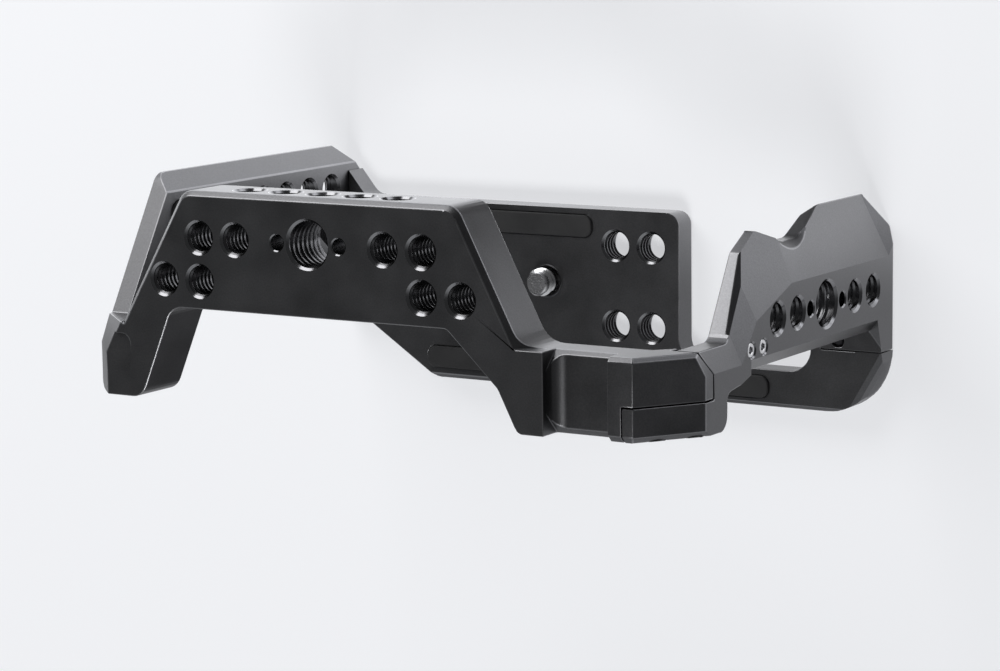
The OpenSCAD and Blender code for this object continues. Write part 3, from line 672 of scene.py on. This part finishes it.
def set_in(pattern, name, spots, aim, finish, node, body="cage"):
    """Copies of a pattern at these spots in mm, pointing along aim, as one piece."""
    aimed = Vector((0, 0, 1)).rotation_difference(Vector(aim)).to_matrix().to_4x4()
    made = []
    for spot in spots:
        one = pattern.copy()
        one.data = pattern.data.copy()
        scene.collection.objects.link(one)
        one.data.transform(Matrix.Translation(Vector(spot) * mm) @ aimed)
        made.append(one)
    bpy.data.objects.remove(pattern)
    take(made[0])
    for one in made:
        one.select_set(True)
    bpy.ops.object.join()
    piece = made[0]
    piece.name = name
    piece.data.materials.clear()
    piece.data.materials.append(finish)
    take(piece)
    bpy.ops.object.shade_smooth_by_angle(angle=math.radians(30))
    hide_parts(node)
    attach(piece, body)
    return piece


black_oxide = machined("black_oxide", (0.06, 0.06, 0.065), 0.36, 0.006 * mm)
foot_screw_length = 5.8
right_foot_x, right_foot_ys = 60.15, (-10.6, -2.6, 5.4)
left_foot_x, left_foot_ys = -61.85, (-5.6, 2.4, 10.4)
arm_screw_length, arm_rear = 11.5, -17.5
arm_screw_at = ((62.05, 92.4), (66.65, 85.7))
chamfer_normal, chamfer_out = Vector((0.58, -0.71, 0.40)).normalized(), 86.9 * mm

set_in(countersunk(foot_screw_length), "right_foot_m3_screws",
       [(right_foot_x, y, 0) for y in right_foot_ys], (0, 0, 1), black_oxide,
       "right_foot_screws")
set_in(countersunk(foot_screw_length), "left_foot_m3_screws",
       [(left_foot_x, y, 0) for y in left_foot_ys], (0, 0, 1), black_oxide,
       "left_foot_screws")
dressed_oxide = machined("dressed_black_oxide", (0.09, 0.09, 0.093), 0.36, 0.006 * mm)
arm_screws = set_in(countersunk(arm_screw_length), "arm_m3_screws",
                    [(x, arm_rear, z) for x, z in arm_screw_at], (0, 1, 0), dressed_oxide,
                    "arm_screws")
take(arm_screws)
bpy.ops.object.mode_set(mode="EDIT")
bpy.ops.mesh.select_all(action="SELECT")
bpy.ops.mesh.bisect(plane_co=chamfer_out * chamfer_normal, plane_no=chamfer_normal,
                    use_fill=True, clear_outer=True)
bpy.ops.object.mode_set(mode="OBJECT")

# ------------------------------------------------------------------- dowels
# Ground steel pins with chamfered ends. One keys the tongue to the arm, and two key the right
# wall's foot to the base plate. They are pressed in before the screws are driven.

pin_r = 1.25
arm_pin_length, arm_pin_at = 8.4, (64.35, -14.4, 89.0)
foot_pin_length, foot_pin_z, foot_pin_ys = 4.6, 1.2, (-6.6, 1.4)


def pin(length):
    """A pin that stands on the origin."""
    return turned(32, [(pin_r - 0.2, 0), (pin_r, 0.3), (pin_r, length - 0.3),
                       (pin_r - 0.2, length)])


ground_steel = machined("ground_steel", (0.07, 0.07, 0.075), 0.26, 0.003 * mm)
set_in(pin(arm_pin_length), "arm_pin", [arm_pin_at], (0, 1, 0), ground_steel,
       "arm_dowel")
set_in(pin(foot_pin_length), "foot_pins", [(right_foot_x, y, foot_pin_z) for y in foot_pin_ys],
       (0, 0, 1), ground_steel, "foot_dowels")

# --------------------------------------------------------------- set screws
# Two stainless M3 set screws with hex sockets, beside the strap lug. They are driven in from
# outside the right wall and press its rubber pad on the camera's side.

set_screw = turned(40, [(screw_r - 0.12, 0), (screw_r, 0.12), (screw_r, 0.55),
                        (screw_root_r, 0.8), (screw_root_r, 4.9), (screw_root_r - 0.3, 5.3)])
hex_socket(set_screw, 0.85, 1.6)
with_thread(set_screw, screw_root_r, screw_r, screw_pitch, 0.6, 5.0)
stainless = machined("stainless", (0.62, 0.62, 0.63), 0.28, 0.004 * mm)
set_in(set_screw, "lug_side_set_screws",
       [(70.1, lug_screw_y, height) for height in lug_screw_heights], (-1, 0, 0), stainless,
       "lug_set_screws")

# ------------------------------------------------------------- camera screw
# The captive 1/4 inch screw, turned from stainless steel. Its rim has a straight knurl for
# the fingers, its face has a coin slot, and two sockets in the rim hold the folding ring.

screw_axis = (-12.35, -2.1, 0)
rim_r, neck_r, thread_root_r, thread_r, head_top = 7.0, 2.45, 2.62, 3.175, 3.4
knurl_ridges, knurl_depth = 60, 0.24
face_z, slot_width, slot_depth, slot_flare = 0.4, 1.8, 1, 1.5
ring_axis_z, ring_socket_r, ring_socket_from = 1.9, 0.8, 5.0

camera_screw = turned(2 * knurl_ridges, [
    (rim_r - 0.45, face_z), (rim_r, 0.8), (rim_r, 3.0), (rim_r - 0.45, head_top),
    (neck_r, head_top + 0.001), (neck_r, 6.3), (thread_root_r, 6.5), (thread_root_r, 10.1),
    (thread_root_r - 0.3, 10.5)])
take(camera_screw)
bpy.ops.object.mode_set(mode="EDIT")
bpy.ops.mesh.select_mode(type="VERT")
bpy.ops.mesh.select_all(action="DESELECT")
shape = bmesh.from_edit_mesh(camera_screw.data)
for corner in shape.verts:
    column = round(math.atan2(corner.co.y, corner.co.x) / math.tau * 2 * knurl_ridges)
    if corner.co.xy.length > (rim_r - 0.1) * mm and column % 2:
        corner.select_set(True)
bmesh.update_edit_mesh(camera_screw.data)
shrunk = (rim_r - knurl_depth) / rim_r
bpy.ops.transform.resize(value=(shrunk, shrunk, 1))
bpy.ops.object.mode_set(mode="OBJECT")

bpy.ops.object.select_all(action="DESELECT")
bpy.ops.mesh.primitive_cube_add(size=1, location=(0, 0, (face_z + slot_depth / 2) * mm))
coin_slot = bpy.context.object
coin_slot.scale = (16 * mm, slot_width * mm, slot_depth * mm)
bpy.ops.object.transform_apply(location=False, rotation=False, scale=True)
bpy.ops.object.mode_set(mode="EDIT")
bpy.ops.mesh.select_mode(type="FACE")
bpy.ops.mesh.select_all(action="DESELECT")
shape = bmesh.from_edit_mesh(coin_slot.data)
for face in shape.faces:
    face.select_set(face.normal.z < -0.5)
bmesh.update_edit_mesh(coin_slot.data)
bpy.ops.mesh.extrude_region_move(TRANSFORM_OT_translate={"value": (0, 0, -face_z * mm)})
bpy.ops.transform.resize(value=(1, slot_flare, 1))
bpy.ops.object.mode_set(mode="OBJECT")
cut_away(camera_screw, coin_slot)
for way in (-1, 1):
    drill = turned(32, [(ring_socket_r, ring_socket_from), (ring_socket_r, rim_r - 0.2),
                        (ring_socket_r + 0.3, rim_r + 0.2), (ring_socket_r + 0.3, rim_r + 1)])
    drill.data.transform(Matrix.Translation((0, 0, ring_axis_z * mm)) @
                         Matrix.Rotation(way * math.pi / 2, 4, "Y"))
    cut_away(camera_screw, drill)
with_thread(camera_screw, thread_root_r, thread_r, quarter_pitch / mm, 6.35, 10.2)

lathe_turned = machined("lathe_turned", (0.62, 0.62, 0.63), 0.26, 0.003 * mm)
nodes, links = lathe_turned.node_tree.nodes, lathe_turned.node_tree.links
at = nodes.new("ShaderNodeTexCoord")
centred = nodes.new("ShaderNodeMapping")
centred.inputs["Location"].default_value = [-c * mm for c in screw_axis]
links.new(at.outputs["Object"], centred.inputs["Vector"])
rings = nodes.new("ShaderNodeTexWave")
rings.wave_type = "RINGS"
rings.rings_direction = "Z"
rings.inputs["Scale"].default_value = 900
rings.inputs["Distortion"].default_value = 1.5
rings.inputs["Detail Scale"].default_value = 3
links.new(centred.outputs["Vector"], rings.inputs["Vector"])
tool_marks = nodes.new("ShaderNodeBump")
tool_marks.inputs["Strength"].default_value = 0.5
tool_marks.inputs["Distance"].default_value = 0.006 * mm
links.new(rings.outputs["Color"], tool_marks.inputs["Height"])
fine = [n for n in nodes if n.bl_idname == "ShaderNodeBump" and n != tool_marks][0]
links.new(fine.outputs["Normal"], tool_marks.inputs["Normal"])
links.new(tool_marks.outputs["Normal"], nodes["Principled BSDF"].inputs["Normal"])

set_in(camera_screw, "quarter_inch_screw", [screw_axis], (0, 0, 1), lathe_turned,
       "camera_screw", "screw")

# ------------------------------------------------------------------- washer
# A black nylon washer between the screw's head and the base plate. It keeps the screw captive
# and lets it turn smoothly.

nylon = bpy.data.materials.new("black_nylon")
nylon.use_nodes = True
nodes, links = nylon.node_tree.nodes, nylon.node_tree.links
skin = nodes["Principled BSDF"]
skin.inputs["Specular IOR Level"].default_value = 0.45
at = nodes.new("ShaderNodeTexCoord")
haze = nodes.new("ShaderNodeTexNoise")
haze.inputs["Scale"].default_value = 500
haze.inputs["Detail"].default_value = 4
links.new(at.outputs["Object"], haze.inputs["Vector"])
tones = nodes.new("ShaderNodeValToRGB")
tones.color_ramp.elements[0].position = 0.3
tones.color_ramp.elements[0].color = (0.035, 0.035, 0.036, 1)
tones.color_ramp.elements[1].position = 0.7
tones.color_ramp.elements[1].color = (0.06, 0.06, 0.062, 1)
links.new(haze.outputs["Fac"], tones.inputs["Fac"])
links.new(tones.outputs["Color"], skin.inputs["Base Color"])
links.new(spread(nodes, links, haze.outputs["Fac"], 0.3, 0.7, 0.5, 0.62),
          skin.inputs["Roughness"])

washer_r, washer_bore_r, washer_t, worn = 6.5, 2.5, 0.4, 0.08
low, high = head_top, head_top + washer_t
washer = turned(64, [(washer_r - worn, low), (washer_r, low + worn), (washer_r, high - worn),
                     (washer_r - worn, high)])
cut_away(washer, turned(48, [
    (washer_bore_r + worn, low - 0.2), (washer_bore_r + worn, low),
    (washer_bore_r, low + worn), (washer_bore_r, high - worn),
    (washer_bore_r + worn, high), (washer_bore_r + worn, high + 0.2)]))
set_in(washer, "nylon_washer", [screw_axis], (0, 0, 1), nylon, "screw_washer",
       "washer")

# ------------------------------------------------------------- folding ring
# Stainless wire bent to a half ring. Its two ends turn in the screw's rim, so it folds flat
# in the plate's recess or hangs down as a handle.

wire_r = 0.75
ring_r, ring_bend_r, ring_bend_x, ring_end_x = 9, 1.5, 8.874, 5.4


def bent_wire(sides, radius, start, runs):
    """Wire from the start along +X, in mm. A run is a straight (x, y), or a bend's middle
    (x, y), its angle in degrees and its steps."""
    bpy.ops.object.select_all(action="DESELECT")
    bpy.ops.mesh.primitive_circle_add(vertices=sides, radius=radius * mm,
                                      location=Vector(start) * mm,
                                      rotation=(math.pi / 2, 0, math.pi / 2))
    wire = bpy.context.object
    bpy.ops.object.transform_apply(location=True, rotation=True, scale=False)
    bpy.ops.object.mode_set(mode="EDIT")
    for run in runs:
        if len(run) == 2:
            bpy.ops.mesh.extrude_region_move(
                TRANSFORM_OT_translate={"value": (run[0] * mm, run[1] * mm, 0)})
        else:
            middle, angle, steps = run
            bpy.ops.mesh.spin(steps=steps, angle=-math.radians(angle), axis=(0, 0, 1),
                              center=(middle[0] * mm, middle[1] * mm, start[2] * mm))
    bpy.ops.mesh.select_all(action="SELECT")
    bpy.ops.mesh.remove_doubles(threshold=0.0005 * mm)
    bpy.ops.mesh.fill_holes(sides=0)
    bpy.ops.mesh.normals_make_consistent(inside=False)
    bpy.ops.mesh.select_mode(type="EDGE")
    bpy.ops.mesh.select_all(action="DESELECT")
    shape = bmesh.from_edit_mesh(wire.data)
    for edge in shape.edges:
        ends = [len(face.verts) == sides for face in edge.link_faces]
        edge.select_set(any(ends))
    bmesh.update_edit_mesh(wire.data)
    bpy.ops.mesh.bevel(offset=0.14 * radius * mm, segments=2, affect="EDGES")
    bpy.ops.object.mode_set(mode="OBJECT")
    return wire


bend = math.degrees(math.asin(ring_bend_r / ring_r))
ring = bent_wire(24, wire_r, (ring_end_x, 0, ring_axis_z), [
    (ring_bend_x - ring_end_x, 0),
    ((ring_bend_x, -ring_bend_r), -(90 + bend), 10),
    ((0, 0), -(180 - 2 * bend), 48),
    ((-ring_bend_x, -ring_bend_r), -(90 + bend), 10),
    (ring_bend_x - ring_end_x, 0)])
set_in(ring, "wire_ring", [screw_axis], (0, 0, 1), stainless, "screw_ring", "ring")

# --------------------------------------------------------- hex key, magnets
# A plated 1.5 mm hex key lies in a pocket of the plate's underside, where two small nickel
# plated magnets hold it. It pulls straight down out of the pocket.

key_corner_r, key_long, key_short, key_bend_r = 0.866, 44, 14, 3
key_x, key_y, key_z = -36.95, -23.1, 1.3
magnet_r, magnet_low, magnet_high, magnet_xs = 1.5, 2.4, 4.1, (-26.83, -10.55)

key = bent_wire(6, key_corner_r, (key_x + key_long, key_y, key_z), [
    (key_bend_r - key_long, 0), ((key_x + key_bend_r, key_y + key_bend_r), -90, 10),
    (0, key_short - key_bend_r)])
plated = machined("plated_tool_steel", (0.55, 0.55, 0.56), 0.22, 0.003 * mm)
set_in(key, "pocket_key", [(0, 0, 0)], (0, 0, 1), plated, "hex_key", "key")

magnet = turned(32, [(magnet_r - 0.12, magnet_low), (magnet_r, magnet_low + 0.12),
                     (magnet_r, magnet_high - 0.12), (magnet_r - 0.12, magnet_high)])
nickel = machined("nickel_plate", (0.66, 0.65, 0.62), 0.2, 0.002 * mm)
set_in(magnet, "pocket_magnets", [(x, key_y, 0) for x in magnet_xs], (0, 0, 1), nickel,
       "key_magnets")

# -------------------------------------------------------------- rubber pads
# Thin pads of black rubber, glued into shallow pockets of the frame, the walls and the plate.
# The camera rests on them, and their rims are moulded round.

rim_rounding, crown, crown_inset = 0.35 * mm, 0.08 * mm, 0.18

rubber = bpy.data.materials.new("black_rubber")
rubber.use_nodes = True
nodes, links = rubber.node_tree.nodes, rubber.node_tree.links
skin = nodes["Principled BSDF"]
skin.inputs["Specular IOR Level"].default_value = 0.35
at = nodes.new("ShaderNodeTexCoord")
dust = nodes.new("ShaderNodeTexNoise")
dust.inputs["Scale"].default_value = 120
dust.inputs["Detail"].default_value = 6
links.new(at.outputs["Object"], dust.inputs["Vector"])
tones = nodes.new("ShaderNodeValToRGB")
tones.color_ramp.elements[0].position = 0.35
tones.color_ramp.elements[0].color = (0.016, 0.016, 0.017, 1)
tones.color_ramp.elements[1].position = 0.75
tones.color_ramp.elements[1].color = (0.030, 0.030, 0.031, 1)
links.new(dust.outputs["Fac"], tones.inputs["Fac"])
links.new(tones.outputs["Color"], skin.inputs["Base Color"])
links.new(spread(nodes, links, dust.outputs["Fac"], 0.3, 0.7, 0.66, 0.8),
          skin.inputs["Roughness"])
pores = nodes.new("ShaderNodeTexVoronoi")
pores.inputs["Scale"].default_value = 2200
links.new(at.outputs["Object"], pores.inputs["Vector"])
bump = nodes.new("ShaderNodeBump")
bump.inputs["Strength"].default_value = 0.5
bump.inputs["Distance"].default_value = 0.03 * mm
links.new(pores.outputs["Distance"], bump.inputs["Height"])
links.new(bump.outputs["Normal"], skin.inputs["Normal"])



def pad(node, name, up):
    """A pad in the node's box, with round ends, whose rounded side looks along up."""
    low, high = (Vector(corner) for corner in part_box(node))
    up = Vector(up)
    extent = high - low
    bpy.ops.object.select_all(action="DESELECT")
    bpy.ops.mesh.primitive_cube_add(size=1, location=(low + high) / 2)
    piece = bpy.context.object
    piece.name = name
    piece.scale = extent
    bpy.ops.object.transform_apply(location=True, rotation=False, scale=True)
    width = sorted(extent)[1]
    bpy.ops.object.mode_set(mode="EDIT")
    for aim, offset, segments in (("post", width / 2.4, 8), ("rim", rim_rounding, 4)):
        bpy.ops.mesh.select_mode(type="EDGE")
        bpy.ops.mesh.select_all(action="DESELECT")
        shape = bmesh.from_edit_mesh(piece.data)
        for edge in shape.edges:
            run = (edge.verts[1].co - edge.verts[0].co).normalized()
            facing = [face.normal.dot(up) > 0.9 for face in edge.link_faces]
            edge.select_set(abs(run.dot(up)) > 0.9 if aim == "post" else any(facing))
        bmesh.update_edit_mesh(piece.data)
        bpy.ops.mesh.bevel(offset=offset, segments=segments, affect="EDGES")
    bpy.ops.mesh.select_mode(type="FACE")
    bpy.ops.mesh.select_all(action="DESELECT")
    shape = bmesh.from_edit_mesh(piece.data)
    for face in shape.faces:
        face.select_set(face.normal.dot(up) > 0.999)
    bmesh.update_edit_mesh(piece.data)
    bpy.ops.mesh.inset(thickness=crown_inset * width, depth=crown)
    bpy.ops.transform.translate(value=-crown * up)
    bpy.ops.object.mode_set(mode="OBJECT")
    piece.data.materials.append(rubber)
    take(piece)
    bpy.ops.object.shade_smooth_by_angle(angle=math.radians(50))
    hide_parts(node)
    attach(piece, "cage")


pad("bridge_pad", "bridge_rubber", (0, 0, -1))
pad("left_wall_pad", "left_wall_rubber", (1, 0, 0))
pad("right_wall_pad", "right_wall_rubber", (-1, 0, 0))
pad("front_base_pad", "front_base_rubber", (0, 0, 1))
pad("rear_base_pad", "rear_base_rubber", (0, 0, 1))
pad("battery_side_pad", "battery_side_rubber", (0, 0, 1))
